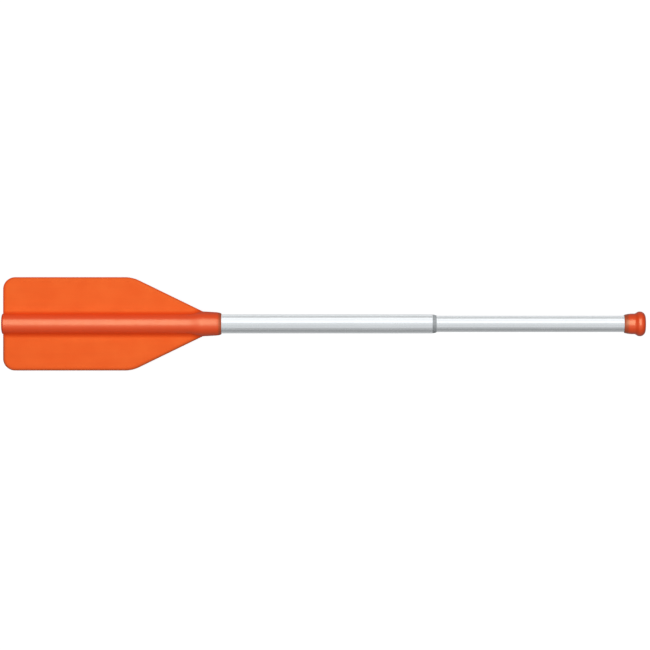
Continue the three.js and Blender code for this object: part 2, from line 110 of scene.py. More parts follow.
# A polyline of [x, r, rounding] corners as an array of [x, r]. Each corner becomes a parabola that leaves and
# rejoins its two sides at the rounding distance: p = (1-t)^2 a + 2t(1-t) corner + t^2 b.
def roundedProfile(corners, steps, looped=False):
    corners = np.array(corners, float)
    path = []
    for i, (x, r, reach) in enumerate(corners):
        here = np.array([x, r])
        if reach == 0 or (not looped and i in (0, len(corners) - 1)):
            path.append(here[None])
            continue
        before, after = corners[i - 1, :2] - here, corners[(i + 1) % len(corners), :2] - here
        a = here + before * min(reach / np.linalg.norm(before), mostOfSide)
        b = here + after * min(reach / np.linalg.norm(after), mostOfSide)
        t = np.linspace(0, 1, steps + 1)[:, None]
        path.append((1 - t) ** 2 * a + 2 * t * (1 - t) * here + t**2 * b)
    return np.concatenate(path)


# A rounding from (x, r) along the shaft: x + dx sin(t)^p, r + dr (1 - cos(t)^p), where p is 2 / fullness.
# A fullness of 2 gives a quarter of an ellipse, and 1 a straight chamfer.
def rounding(x, r, dx, dr, steps=16, fullness=2.0):
    t = np.linspace(0, math.pi / 2, steps + 1)
    sine, cosine = (np.clip(wave, 0, 1) ** (2 / fullness) for wave in (np.sin(t), np.cos(t)))
    return np.stack([x + dx * sine, r + dr * (1 - cosine)], -1)


# Rings about the shaft: (x, r cos a, r sin a). Both x and r are rows x 1, or rows x sides when they vary
# round a ring.
def ringPoints(x, r, sides):
    angle = np.linspace(0, 2 * math.pi, sides, endpoint=False)[None, :]
    return np.stack([x + 0 * angle, r * np.cos(angle), r * np.sin(angle)], -1).reshape(-1, 3)


# Rings that run towards +X on their outside. A solid has a pole at either end; without poles the rings close
# into a tube, outside first.
def ringSolid(x, r, sides, poles=None):
    points = ringPoints(x, r, sides)
    if poles is None:
        return points, [gridFaces(len(x), sides, looped=True)]
    last = (len(x) - 1) * sides
    faces = [gridFaces(len(x), sides),
             fanFaces(len(points), 0, sides, -1),
             fanFaces(len(points) + 1, last, sides)]
    return np.concatenate([points, [[poles[0], 0, 0], [poles[1], 0, 0]]]), faces


# A profile of [x, r] turned about the shaft. One that starts and ends on the axis makes a solid.
def turned(profile, sides=128):
    if profile[0, 1] < onAxis and profile[-1, 1] < onAxis:
        return ringSolid(profile[1:-1, :1], profile[1:-1, 1:], sides, (profile[0, 0], profile[-1, 0]))
    return ringSolid(profile[:, :1], profile[:, 1:], sides)


# The radius of a screw thread at x and angle a:
# core + (crest - core)(1 - |2 frac(x / pitch - a / 2 pi) - 1|).
def threadRadius(x, sides, pitch, crest, core):
    turn = np.linspace(0, 1, sides, endpoint=False)[None, :]
    return core + (crest - core) * (1 - np.abs(2 * np.mod(x / pitch - turn, 1) - 1))


# A node's box in the CAD, in millimetres.
def inMm(node):
    low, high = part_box(node)
    return np.array(low) / mm, np.array(high) / mm


# ---- materials ----

# A Mix node's sockets for two colours, and the coordinates' places in a Separate XYZ node.
mixFactor, mixFirst, mixSecond, mixResult = 0, 6, 7, 2
alongX, alongY, alongZ = 0, 1, 2


# A socket that takes part in sums.
class Value:
    def __init__(self, tree, socket):
        self.tree, self.socket = tree, socket

    def sum(self, operation, *values):
        return self.tree.add("ShaderNodeMath", {"operation": operation}, dict(enumerate(values)))

    def __add__(self, other):
        return self.sum("ADD", self, other)

    def __sub__(self, other):
        return self.sum("SUBTRACT", self, other)

    def __mul__(self, other):
        return self.sum("MULTIPLY", self, other)

    def __rsub__(self, other):
        return self.sum("SUBTRACT", other, self)

    __radd__, __rmul__ = __add__, __mul__


# A node tree. add() puts in any node: its settings first, then its sockets' values or links.
class Nodes:
    def __init__(self, owner):
        owner.use_nodes = True
        self.nodes = owner.node_tree.nodes
        self.links = owner.node_tree.links

    def add(self, kind, settings=None, sockets=None, out=0):
        node = self.nodes.new(kind)
        for key, value in (settings or {}).items():
            if key == "stops":
                ramp = node.color_ramp
                while len(ramp.elements) < len(value):
                    ramp.elements.new(0.5)
                for element, (position, colour) in zip(ramp.elements, value):
                    element.position, element.color = position, (*colour, 1)
            else:
                setattr(node, key, value)
        self.feed(node, sockets or {})
        return Value(self, node.outputs[out])

    def feed(self, node, sockets):
        for key, value in sockets.items():
            if isinstance(value, Value):
                self.links.new(value.socket, node.inputs[key])
            else:
                node.inputs[key].default_value = value

    def coordinate(self, vector, axis):
        return self.add("ShaderNodeSeparateXYZ", None, {0: vector}, out=axis)

    # Two colours, each a tuple or a socket, mixed by a factor.
    def mixed(self, factor, first, second, blend="MIX"):
        first, second = ((*colour, 1) if isinstance(colour, tuple) else colour for colour in (first, second))
        return self.add("ShaderNodeMix", {"data_type": "RGBA", "blend_type": blend},
                        {mixFactor: factor, mixFirst: first, mixSecond: second}, out=mixResult)


# A material, with its shader and the object's own coordinates.
class Finish(Nodes):
    def __init__(self, name):
        self.material = bpy.data.materials.new(name)
        super().__init__(self.material)
        self.shader = self.nodes["Principled BSDF"]
        self.place = self.add("ShaderNodeTexCoord", out="Object")

    # The object's coordinates, stretched by a scale along each axis.
    def stretched(self, scale):
        return self.add("ShaderNodeMapping", None, {"Vector": self.place, "Scale": scale})

    def noise(self, scale, detail=3.0, roughness=0.5, stretch=None):
        vector = self.stretched(stretch) if stretch else self.place
        return self.add("ShaderNodeTexNoise", None,
                        {"Vector": vector, "Scale": scale, "Detail": detail, "Roughness": roughness})

    # A value carried from one range to another, and held at the ends.
    def between(self, value, low, high, start=0.0, end=1.0):
        return self.add("ShaderNodeMapRange", None,
                        {"Value": value, "From Min": low, "From Max": high, "To Min": start, "To Max": end})

    # How far a point is from the shaft's axis along one of the object's own axes.
    def away(self, axis):
        return self.add("ShaderNodeVectorMath", {"operation": "LENGTH"}, {0: self.stretched(axis)}, out=1)

    def bump(self, height, strength, distance, normal=None):
        sockets = {"Height": height, "Strength": strength, "Distance": distance}
        if normal:
            sockets["Normal"] = normal
        return self.add("ShaderNodeBump", None, sockets)

    def shade(self, **sockets):
        self.feed(self.shader, {key.replace("_", " "): value for key, value in sockets.items()})
        return self.material


# The moulded plastics' wear and painted shade, in metres and shares.
wearAndPaintedShade = {
    # the colour of the painted shade, a dark brown laid over the edges and mouths where shade falls
    "paintedShade": (0.40, 0.07, 0.022),
    "paintedShadeShare": 0.72,              # how far the painted shade covers the colour where it is darkest
    "litSideShare": 0.3,               # the share of that painted shade on the edge that looks along +Y, towards the light
    "sideBlend": 0.02,              # half the width over which one side's painted shade becomes the other's
    "clearOfRib": (0.023, 0.025),   # the edge's painted shade begins this far from the axis
    "skinBlend": 0.002,             # the height over which the polished skin comes in
    "skinPolish": 0.2,              # how much less rough the skin is
}


# Moulded plastic: faint flow streaks along the oar, a fine spark-eroded grain, and soft rubbed patches. Where
# it stands more than polishedFrom metres above or below the shaft's axis, it is rubbed smooth and has a thin
# skin. Painted shade darkens its colour over two ranges: edge, in height, where it thins down away from the
# shaft, most on the -Y side, which faces away from the light; and mouth, in x, a painted shadow ring at the
# opening.
def mouldedPlastic(name, colour, deep, rough, grain=900.0, specular=0.5, tint=(1, 1, 1), polishedFrom=1.0,
                   edge=None, mouth=None):
    f = Finish(name)
    streaks = f.noise(1.0, 4.0, 0.55, stretch=(7.0, 120.0, 120.0))
    clouds = f.noise(26.0, 3.0)
    tone = f.between(streaks * 0.6 + clouds * 0.4, 0.36, 0.64)
    grainHeight = f.noise(grain, 2.0, 0.6)
    rubbed = f.between(f.noise(60.0, 4.0, 0.65), 0.52, 0.7)
    scuffs = f.between(f.noise(1.0, 2.0, stretch=(60.0, 900.0, 400.0)), 0.66, 0.72) * rubbed
    height = f.away((0, 0, 1))
    skin = f.between(height, polishedFrom, polishedFrom + wearAndPaintedShade["skinBlend"])
    baseColour = f.mixed(tone, deep, colour)
    if edge:
        # painted shade along the blade's rounded outline, heaviest on the -Y edge, which faces away from the
        # light
        shadeBySide = f.between(f.coordinate(f.place, alongY), wearAndPaintedShade["sideBlend"], -wearAndPaintedShade["sideBlend"],
                           wearAndPaintedShade["litSideShare"], 1.0)
        onPlate = f.between(f.away((0, 1, 0)), *wearAndPaintedShade["clearOfRib"])
        thin = f.between(height, *edge, 0, wearAndPaintedShade["paintedShadeShare"]) * onPlate * shadeBySide
        baseColour = f.mixed(thin, baseColour, wearAndPaintedShade["paintedShade"])
    if mouth:
        # a painted shadow ring at the mouth, standing in for the shade where the end turns away from the
        # light and meets the tube
        mouthShade = f.between(f.coordinate(f.place, alongX), *mouth, 0, wearAndPaintedShade["paintedShadeShare"])
        baseColour = f.mixed(mouthShade, baseColour, wearAndPaintedShade["paintedShade"])
    satin = f.between(clouds + rubbed * -0.12, 0.2, 0.8, rough + 0.05, rough - 0.05)
    return f.shade(
        Base_Color=baseColour,
        Roughness=satin + scuffs * 0.12 - skin * wearAndPaintedShade["skinPolish"],
        Specular_IOR_Level=specular,
        Specular_Tint=(*tint, 1),
        Coat_Weight=skin * f.between(rubbed + scuffs, 0.0, 1.6, 1.0, 0.75),
        Coat_Roughness=0.34,
        Coat_IOR=1.54,
        Normal=f.bump(scuffs, 0.15, 0.0001, f.bump(grainHeight, 0.12, 0.00006)),
    )


# Drawn and anodised aluminium tube: die lines along the shaft, a soft haze and a few handling marks round it.
def drawnAluminium(name, colour, deep, rough):
    f = Finish(name)
    lines = f.noise(1.0, 5.0, 0.6, stretch=(3.0, 1400.0, 1400.0))
    haze = f.noise(14.0, 3.0)
    marks = f.between(f.noise(1.0, 2.0, stretch=(900.0, 60.0, 60.0)), 0.68, 0.74)
    return f.shade(
        Base_Color=f.mixed(f.between(lines * 0.7 + haze * 0.3, 0.38, 0.62), deep, colour),
        Metallic=1.0,
        Roughness=f.between(lines * 0.5 + haze * 0.5, 0.3, 0.7, rough - 0.05, rough + 0.06) + marks * 0.08,
        Normal=f.bump(lines, 0.06, 0.00005, f.bump(marks, 0.04, 0.00003)),
    )


# Turned metal: fine rings from the tool about the shaft, with a little haze.
def turnedMetal(name, colour, deep, rough=0.26):
    f = Finish(name)
    rings = f.noise(1.0, 2.0, 0.5, stretch=(5200.0, 40.0, 40.0))
    haze = f.noise(180.0, 3.0)
    return f.shade(
        Base_Color=f.mixed(f.between(haze, 0.35, 0.65), deep, colour),
        Metallic=1.0,
        Roughness=f.between(rings * 0.6 + haze * 0.4, 0.3, 0.7, rough - 0.06, rough + 0.08),
        Normal=f.bump(rings, 0.12, 0.00003),
    )


# Soft rubber with a fine bloom of dust.
def softRubber(name, colour, deep):
    f = Finish(name)
    dust = f.noise(700.0, 4.0, 0.6)
    return f.shade(
        Base_Color=f.mixed(f.between(dust, 0.4, 0.7), deep, colour),
        Roughness=f.between(dust, 0.3, 0.7, 0.68, 0.84),
        Specular_IOR_Level=0.35,
        Normal=f.bump(dust, 0.2, 0.00004),
    )


# Closed-cell foam: rounded cells about a millimetre across.
def cellFoam(name, colour, deep):
    f = Finish(name)
    cells = f.add("ShaderNodeTexVoronoi", None, {"Vector": f.place, "Scale": 900.0})
    tone = f.between(cells, 0.1, 0.7)
    return f.shade(
        Base_Color=f.mixed(tone, colour, deep),
        Roughness=f.between(tone, 0.0, 1.0, 0.9, 0.98),
        Normal=f.bump(1 - tone, 0.35, 0.0002),
    )


orangeFinish = {
    "colour": (0.94, 0.071, 0.0088),
    "deep": (0.90, 0.065, 0.0078),
    "rough": 0.52,
    "specular": 0.62,
    "tint": (1.0, 1.0, 0.25),
}
# edge and mouth are the ranges of the painted shade: the blade's outline, the socket's mouth and the grip's
# mouth
orange = mouldedPlastic("moulded_orange", **orangeFinish, polishedFrom=0.0075, edge=(0.00297, 0.0020),
                        mouth=(-0.1935, -0.1905))
gripOrange = mouldedPlastic("moulded_orange_grip", **orangeFinish, polishedFrom=-0.01,
                            mouth=(0.5605, 0.5560))
aluminium = drawnAluminium("drawn_aluminium", (0.935, 0.965, 0.985), (0.885, 0.915, 0.935), 0.25)
greyNylon = mouldedPlastic("grey_nylon", (0.30, 0.315, 0.325), (0.26, 0.275, 0.285), 0.5, 1200.0)
blackNylon = mouldedPlastic("black_nylon", (0.035, 0.036, 0.038), (0.024, 0.025, 0.026), 0.5, 1200.0)
steel = turnedMetal("stainless_steel", (0.66, 0.65, 0.63), (0.58, 0.57, 0.555))
brass = turnedMetal("turned_brass", (0.80, 0.58, 0.25), (0.70, 0.49, 0.20), 0.24)
rubber = softRubber("ring_rubber", (0.028, 0.028, 0.029), (0.014, 0.014, 0.015))
foam = cellFoam("float_foam_cells", (0.86, 0.85, 0.80), (0.66, 0.65, 0.60))
slotMaterials = {
    "orange_plastic": orange, "aluminium": aluminium, "grey_nylon": greyNylon, "black_nylon": blackNylon,
    "steel": steel, "brass": brass, "rubber": rubber, "foam": foam,
}
# The CAD's own meshes keep their shapes: the sleeve, cone, pin and foam are shown as they are.
for row in frame["record"]["subparts"]:
    node = frame["nodes"][row["node"]]
    node.data.materials.clear()
    node.data.materials.append(slotMaterials[row["material_slot"]])
    node.data.polygons.foreach_set("use_smooth", np.ones(len(node.data.polygons), bool))
    node.data.set_sharp_from_angle(angle=sharpAngle)
print("finishes made")


# ---- blade ----
blade = {
    "tipRadius": 22.0,
    "shoulderRadius": 57.0,
    "straight": 237.0,      # tip edge to the shoulder's corner
    "taperEnd": 366.0,      # tip edge to where the taper meets the collar
    "plateHalf": 3.0,
    "edgeWidth": 7.0,       # the rounding along the edge, measured in from the outline
    "edgeLand": 0.6,        # half the flat at the parting line
    "ribRadius": 19.45,
    "ribFillet": 10.0,
    "ribEndRound": 1.0,
    "collarSwell": 26.0,
    "collarRadius": 22.8,
    "collarEndRadius": 21.5,
    "roundLength": 11.0,
    "roundDepth": 2.7,
    "roundFullness": 1.6,
    "bore": 17.6,
    "leadIn": 0.8,          # the chamfer inside the socket's mouth
    "landFade": 14.0,       # the land dies away over this length before the collar
    "plateSteps": 30,
    "filletSteps": 12,
    "ribSteps": 56,
    "belowShare": 0.75,     # the plate's share of the points that run below the fillet on the collar
    "cornerSpan": 14.0,     # either side of the shoulder's corner, where the rows are close
    "rows": {"tipEdge": 14, "tipArc": 22, "side": 46, "corner": 24, "taper": 60, "collar": 16, "end": 18},
}


# Radius of the rib and collar at x from the tip edge: level, a smooth swell, a slow cone, and a rounded end
# that falls by depth (1 - (1 - e^n)^(1/n)) over its length, where n is its fullness.
def ribRadiusAt(x, b, length):
    swellFrom, roundFrom = b["taperEnd"] - b["collarSwell"], length - b["roundLength"]
    stations = [0, swellFrom, b["taperEnd"], roundFrom, length]
    radii = [b["ribRadius"], b["ribRadius"], b["collarRadius"], b["collarEndRadius"], b["collarEndRadius"]]
    t = np.clip((x - swellFrom) / b["collarSwell"], 0, 1)
    swell = b["ribRadius"] + (b["collarRadius"] - b["ribRadius"]) * t * t * (3 - 2 * t)
    r = np.where(x < b["taperEnd"], swell, np.interp(x, stations, radii))
    end = np.clip((x - roundFrom) / b["roundLength"], 0, 1)
    r = r - b["roundDepth"] * (1 - (1 - end ** b["roundFullness"]) ** (1 / b["roundFullness"]))
    tip = np.clip(1 - x / b["ribEndRound"], 0, 1)
    return r - b["ribEndRound"] * (1 - np.sqrt(1 - tip**2))


# Half the blade's width at x, and the distance of (x, y) in from its outline. The outline is a straight tip,
# a tip arc, a straight side, a shoulder arc and a straight taper.
def outline(b, halfWidth):
    slope = (halfWidth - b["collarRadius"]) / (b["taperEnd"] - b["straight"])
    turn = math.atan(slope)
    reach = b["shoulderRadius"] * math.tan(turn / 2)
    arcFrom, arcTo = b["straight"] - reach, b["straight"] + reach * math.cos(turn)
    shoulderY = halfWidth - b["shoulderRadius"]
    tipX, tipY = b["tipRadius"], halfWidth - b["tipRadius"]

    def widthAt(x):
        tip = tipY + np.sqrt(np.clip(tipX**2 - (tipX - x) ** 2, 0, None))
        shoulder = shoulderY + np.sqrt(np.clip(b["shoulderRadius"] ** 2 - (x - arcFrom) ** 2, 0, None))
        taper = b["collarRadius"] + slope * (b["taperEnd"] - x)
        w = np.where(x < tipX, tip, halfWidth)
        w = np.where(x > arcFrom, shoulder, w)
        return np.where(x > arcTo, taper, w)

    def inset(x, y):
        y = np.abs(y)
        taper = (b["collarRadius"] + slope * (b["taperEnd"] - x) - y) * math.cos(turn)
        d = np.minimum(np.minimum(x, halfWidth - y), taper)
        inTip = (x < tipX) & (y > tipY)
        d = np.where(inTip, tipX - np.hypot(tipX - x, y - tipY), d)
        angle = np.arctan2(x - arcFrom, y - shoulderY)
        inShoulder = (angle > 0) & (angle < turn) & (y > shoulderY)
        return np.where(inShoulder, b["shoulderRadius"] - np.hypot(x - arcFrom, y - shoulderY), d)

    return widthAt, inset


# Count values from 0 to 1 that start close together: 1 - cos(t) for even steps of t over a quarter turn.
def easedIn(count):
    return 1 - np.cos(np.linspace(0, math.pi / 2, count))


# The blade's stations along x, from the tip edge: close together where the outline or the end is round.
def bladeStations(b, length):
    rows, cornerFrom, cornerTo = b["rows"], b["straight"] - b["cornerSpan"], b["straight"] + b["cornerSpan"]
    roundFrom = length - b["roundLength"]
    return np.unique(np.concatenate([
        easedIn(rows["tipEdge"]) * b["edgeWidth"],
        easedIn(rows["tipArc"]) * b["tipRadius"],
        np.linspace(b["tipRadius"], cornerFrom, rows["side"]),
        np.linspace(cornerFrom, cornerTo, rows["corner"]),
        np.linspace(cornerTo, b["taperEnd"], rows["taper"]),
        np.linspace(b["taperEnd"], roundFrom, rows["collar"]),
        length - b["roundLength"] * (1 - np.sin(np.linspace(0, math.pi / 2, rows["end"]))),
    ]).round(4))[:, None]


# The blade is a loop of points carried along x. Half the loop runs from one edge over the top to the other:
# height z(x, y) is the rib's circle, or else the plate with a round fillet against the rib, eased down to a
# narrow land at the outline by land + (z - land) sqrt(1 - (1 - d/edgeWidth)^2), where d is the distance in
# from it.
def bladePoints(b, low, high):
    length, halfWidth = high[0] - low[0], high[1]
    widthAt, inset = outline(b, halfWidth)
    x = bladeStations(b, length)
    w, r = widthAt(x), ribRadiusAt(x, b, length)
    plate, fillet = b["plateHalf"], b["ribFillet"]
    filletZ = plate + fillet
    filletY = np.sqrt((r + fillet) ** 2 - filletZ**2)
    contact = np.arctan2(filletZ, filletY)  # polar angle where the fillet leaves the circle
    contactY = r * np.cos(contact)
    rootY = np.minimum(filletY, np.maximum(contactY, w - b["edgeWidth"]))

    # y along the half loop: edge to root, root to contact, then round the circle to its top
    s = 1 - np.cos(np.linspace(0, math.pi / 2, b["plateSteps"], endpoint=False))[None, :]
    k = np.linspace(0, 1, b["filletSteps"], endpoint=False)[None, :]
    plateY = w - (w - rootY) * s
    filletPartY = rootY - (rootY - contactY) * k
    turn = contact + (math.pi / 2 - contact) * np.linspace(0, 1, b["ribSteps"] // 2 + 1)[None, :]
    y = np.concatenate([plateY, filletPartY, r * np.cos(turn)], 1)
    circle = np.sqrt(np.clip(r**2 - y**2, 0, None))
    curve = filletZ - np.sqrt(np.clip(fillet**2 - np.clip(filletY - y, 0, fillet) ** 2, 0, None))
    land = b["edgeLand"] * np.clip((b["taperEnd"] - x) / b["landFade"], 0, 1)
    d = np.clip(inset(x + 0 * y, y) / b["edgeWidth"], 0, 1)
    eased = land + (curve - land) * np.sqrt(1 - (1 - d) ** 2)
    z = np.where(y > contactY, np.maximum(eased, circle), circle)

    # on the collar there is no plate: the same points run round the circle
    share = b["belowShare"]
    around = np.concatenate([contact * (s * share), contact * (share + (1 - share) * k), turn], 1)
    onCollar = x > b["taperEnd"]
    y, z = np.where(onCollar, r * np.cos(around), y), np.where(onCollar, r * np.sin(around), z)

    quarter = np.stack([x + 0 * y, y, z], -1)
    mirrored = quarter[:, :-1][:, ::-1] * [1, -1, 1]
    half = np.concatenate([quarter, mirrored], 1)
    return np.concatenate([half, half[:, ::-1] * [1, 1, -1]], 1) + [low[0], 0, 0]


def makeBlade():
    low, high = inMm("blade")
    outside = bladePoints(blade, low, high)
    rows, columns = outside.shape[:2]
    # the bore's points stand at the same polar angles as the loop's, so that the end faces are flat rings
    polar = np.arctan2(outside[[-1, -1, 0], :, 2], outside[[-1, -1, 0], :, 1])
    x = np.array([[high[0]], [high[0] - blade["leadIn"]], [low[0]]])
    r = np.array([[blade["bore"] + blade["leadIn"]], [blade["bore"]], [blade["bore"]]])
    bore = np.stack([x + 0 * polar, r * np.cos(polar), r * np.sin(polar)], -1)
    points = np.concatenate([outside.reshape(-1, 3), bore.reshape(-1, 3)])
    putMesh("blade_moulding", points, [gridFaces(rows + len(x), columns, looped=True)], orange,
            "blade_and_lower_tube", ["blade"])


makeBlade()
print("blade done")


# ---- tip plug ----
tipPlug = {
    "domeLength": 2.4, "domeDepth": 8.5, "flange": 2.8, "floor": 3.2,
    "spigotRadius": 15.9, "spigotRound": 1.0, "wall": 7.0,
}


# A domed flange over the rib's end, with a hollow spigot inside the tube.
def makeTipPlug():
    low, high = inMm("tip_plug")
    p = tipPlug
    flangeEnd = low[0] + p["flange"]
    hollowFrom, hollow = flangeEnd + p["floor"], p["spigotRadius"] - p["wall"]
    dome = rounding(low[0] + p["domeLength"], high[1], -p["domeLength"], -p["domeDepth"])[::-1]
    rest = roundedProfile([
        [low[0] + p["domeLength"], high[1], 0], [flangeEnd, high[1], 0.25],
        [flangeEnd, p["spigotRadius"], 0.2], [high[0], p["spigotRadius"], p["spigotRound"]],
        [high[0], hollow, 0.6], [hollowFrom, hollow, 1.5],
        [hollowFrom, 0, 0],
    ], 8)
    points, faces = turned(np.concatenate([[[low[0], 0]], dome, rest[1:]]))
    putMesh("tip_plug_moulding", points, faces, orange,
            "blade_and_lower_tube", ["tip_plug"])


makeTipPlug()


# ---- tubes and bush ----
tube = {
    "wall": 1.5,
    "rim": 0.4,             # the rolled end
    "cutRim": 0.12,         # the end that is only cut
    "stations": 9,
    "sides": 160,
}


# A tube's wall: out along the outside, round the rim, back along the bore. One end is rolled, the other cut.
def makeTube(name, node, body, rimAt):
    low, high = inMm(node)
    outer = high[1]
    inner = outer - tube["wall"]
    rims = [tube["rim"] if rimAt == side else tube["cutRim"] for side in ("low", "high")]
    along = np.linspace(low[0], high[0], tube["stations"])[1:-1]
    outside = [[x, outer, 0] for x in along]
    profile = roundedProfile(
        [[low[0], inner, rims[0]], [low[0], outer, rims[0]], *outside, [high[0], outer, rims[1]],
         [high[0], inner, rims[1]], *[[x, inner, 0] for x in along[::-1]]], 5, looped=True)
    points, faces = turned(profile, tube["sides"])
    putMesh(name, points, faces, aluminium, body, [node])


makeTube("lower_tube_drawn", "lower_tube", "blade_and_lower_tube", "high")
makeTube("upper_tube_drawn", "upper_tube", "upper_shaft", "low")


bush = {"bore": 15.1, "lipTip": 15.9, "lipStep": 0.4, "lipLand": 1.6, "play": 0.1, "offRim": 0.2}


# The bush is a sleeve inside the lower tube, with a lip that covers its rim and slopes to the upper tube.
def makeBush():
    low, high = inMm("mouth_bush")
    tubeEnd, tubeOuter = inMm("lower_tube")[1][:2]
    lipFrom = tubeEnd + bush["offRim"]
    lipOuter = tubeOuter - bush["lipStep"]
    sleeveOuter = tubeOuter - tube["wall"] - bush["play"]
    profile = roundedProfile([
        [low[0], bush["bore"], 0.4], [low[0], sleeveOuter, 0.5], [lipFrom, sleeveOuter, 0.1],
        [lipFrom, lipOuter, 0.3], [lipFrom + bush["lipLand"], lipOuter, 1.2],
        [high[0], bush["lipTip"], 0.5], [high[0], bush["bore"], 0.3],
    ], 8, looped=True)
    points, faces = turned(profile, tube["sides"])
    putMesh("mouth_bush_moulding", points, faces, greyNylon,
            "blade_and_lower_tube", ["mouth_bush"])


makeBush()
print("shaft done")


# ---- grip ----
grip = {
    "mouthRadius": 16.3, "mouthRound": 15.0, "mouthFullness": 1.5, "bodyRadius": 18.8,
    "flareStart": 18.5, "flareLength": 8.5, "flangeWidth": 3.0, "endFlat": 13.0, "endFullness": 1.8,
    "slotInner": 13.4, "slotOuter": 15.1, "leadIn": 0.8, "bore": 9.0, "boreFrom": 4.0, "endWall": 7.0,
    "sides": 160,
}


# The cap's outside: a swelling mouth, a straight body, an S-shaped flare r = body + rise t^2 (3 - 2t) into
# the flange, and a rounded end. The upper tube's end stands in a slot inside it.
def makeGrip():
    low, high = inMm("grip")
    g = grip
    body, flange = g["bodyRadius"], high[1]
    flareFrom = low[0] + g["flareStart"]
    flangeFrom = flareFrom + g["flareLength"]
    domeFrom = flangeFrom + g["flangeWidth"]
    mouth = rounding(low[0] + g["mouthRound"], body, -g["mouthRound"], g["mouthRadius"] - body, 20,
                     g["mouthFullness"])
    t = np.linspace(0, 1, 21)[:-1]
    flare = np.stack([flareFrom + g["flareLength"] * t, body + (flange - body) * t**2 * (3 - 2 * t)], -1)
    dome = rounding(domeFrom, flange, high[0] - domeFrom, g["endFlat"] - flange, 24, g["endFullness"])
    wall, boreFrom = high[0] - g["endWall"], low[0] + g["boreFrom"]
    hollow = roundedProfile([
        [wall, 0, 0], [wall, g["bore"], 1.0], [boreFrom, g["bore"], 0.6], [boreFrom, g["slotInner"], 1.6],
        [wall, g["slotInner"], 0.3], [wall, g["slotOuter"], 0.3], [low[0] + g["leadIn"], g["slotOuter"], 0.2],
        [low[0], g["slotOuter"] + g["leadIn"], 0], [low[0], g["mouthRadius"], 0],
    ], 5)
    profile = np.concatenate([hollow[:-1], mouth[::-1], flare, dome, [[high[0], 0]]])
    points, faces = turned(profile, g["sides"])
    putMesh("grip_moulding", points, faces, gripOrange, "upper_shaft", ["grip"])


makeGrip()
print("grip done")


# ---- screws ----
screw = {
    "headHeight": 1.8, "headRadius": 3.8, "headRound": 0.9, "headSide": 0.3, "dome": 0.16, "neck": 0.3,
    "crest": 2.0, "core": 1.4, "pitch": 1.45, "point": 3.0, "pointFullness": 0.8, "pointGap": 0.05,
    "recess": 1.15, "recessTaper": 0.25, "armLength": 2.1, "armWidth": 0.52, "armEdge": 0.16,
    "poleRadius": 0.06, "faceRings": 44, "ringsPerTurn": 12, "sides": 192,
}


# How far a value is inside an edge, from 0 to 1 over the edge's softness.
def inside(value, edge, softness):
    return np.clip((edge - value) / softness + 0.5, 0, 1)


# A pan-head screw, drawn along the shaft and then stood up along +Z: the head's domed face with its cross
# recess, the head's side, and a threaded shank. The recess is as deep as the larger of its two arms:
# inside(|y|, length) inside(|z|, width), and the same turned.
def makeScrew(node, body):
    low, high = inMm(node)
    s = screw
    length = high[2] - low[2]
    angle = np.linspace(0, 2 * math.pi, s["sides"], endpoint=False)[None, :]
    faceRadius = s["headRadius"] - s["headRound"]
    r = np.linspace(s["poleRadius"], faceRadius, s["faceRings"])[:, None]
    y, z = np.abs(r * np.cos(angle)), np.abs(r * np.sin(angle))
    arms = [inside(a, s["armLength"], s["armEdge"]) * inside(b, s["armWidth"], s["armEdge"])
            for a, b in ((y, z), (z, y))]
    recess = s["recess"] * np.maximum(*arms) * (1 - s["recessTaper"] * r / faceRadius)
    face = s["dome"] * (r / faceRadius) ** 2 + recess
    sideFrom = s["headHeight"] - s["headSide"]
    side = rounding(sideFrom, s["headRadius"], s["dome"] - sideFrom, -s["headRound"], 8)[::-1]
    under = np.array([[s["headHeight"], s["headRadius"]], [s["headHeight"], s["crest"] + s["neck"]]])
    along = np.arange(s["headHeight"], length - s["pointGap"], s["pitch"] / s["ringsPerTurn"])[:, None]
    taper = np.clip((length - along) / s["point"], 0, 1) ** s["pointFullness"]
    shank = threadRadius(along, s["sides"], s["pitch"], s["crest"], s["core"]) * taper
    plain = np.concatenate([side[1:], under])
    x = np.concatenate([face, plain[:, :1] + 0 * angle, along + 0 * angle])
    radius = np.concatenate([r + 0 * angle, plain[:, 1:] + 0 * angle, shank])
    points, faces = ringSolid(x, radius, s["sides"], (s["recess"], length))
    points = points[:, [1, 2, 0]] + [(low[0] + high[0]) / 2, 0, low[2]]
    putMesh(node + "_turned", points, faces, steel, body, [node])


for node, body in (("blade_screw_1", "blade_and_lower_tube"), ("blade_screw_2", "blade_and_lower_tube"),
                   ("grip_screw", "upper_shaft")):
    makeScrew(node, body)


# ---- twist lock ----
lock = {
    "pitch": 1.25, "core": 3.35, "ringsPerTurn": 10, "studEnd": 0.8, "hole": 4.15, "washerRound": 0.3,
    "nutFlat": 6.5, "nutCollar": 0.72, "nutCollarSwell": 0.84, "nutCollarEdge": 0.4, "nutCollarHeight": 2.0,
    "nutChamfer": 1.0, "nutFace": 0.3, "nutSides": 180,
    "plugFlange": 1.0, "plugGap": 0.2, "plugHole": 24.05, "plugSides": 128,
    "sealSection": 1.2, "sealFromTube": 8.0, "sealSteps": 28, "sealSides": 160, "slideGap": 0.1, "sides": 96,
}


# The stud is a thread whose ends are cut back by a chamfer.
def makeStud():
    low, high = inMm("lock_stud")
    along = np.arange(low[0], high[0] + onAxis, lock["pitch"] / lock["ringsPerTurn"])[:, None]
    toEnd = np.minimum(along - low[0], high[0] - along)
    chamfer = high[1] - np.clip(lock["studEnd"] - toEnd, 0, None)
    r = np.minimum(threadRadius(along, lock["sides"], lock["pitch"], high[1], lock["core"]), chamfer)
    points, faces = ringSolid(along, r, lock["sides"], (low[0], float(along[-1, 0])))
    putMesh("lock_stud_threaded", points, faces, steel, "upper_shaft", ["lock_stud"])


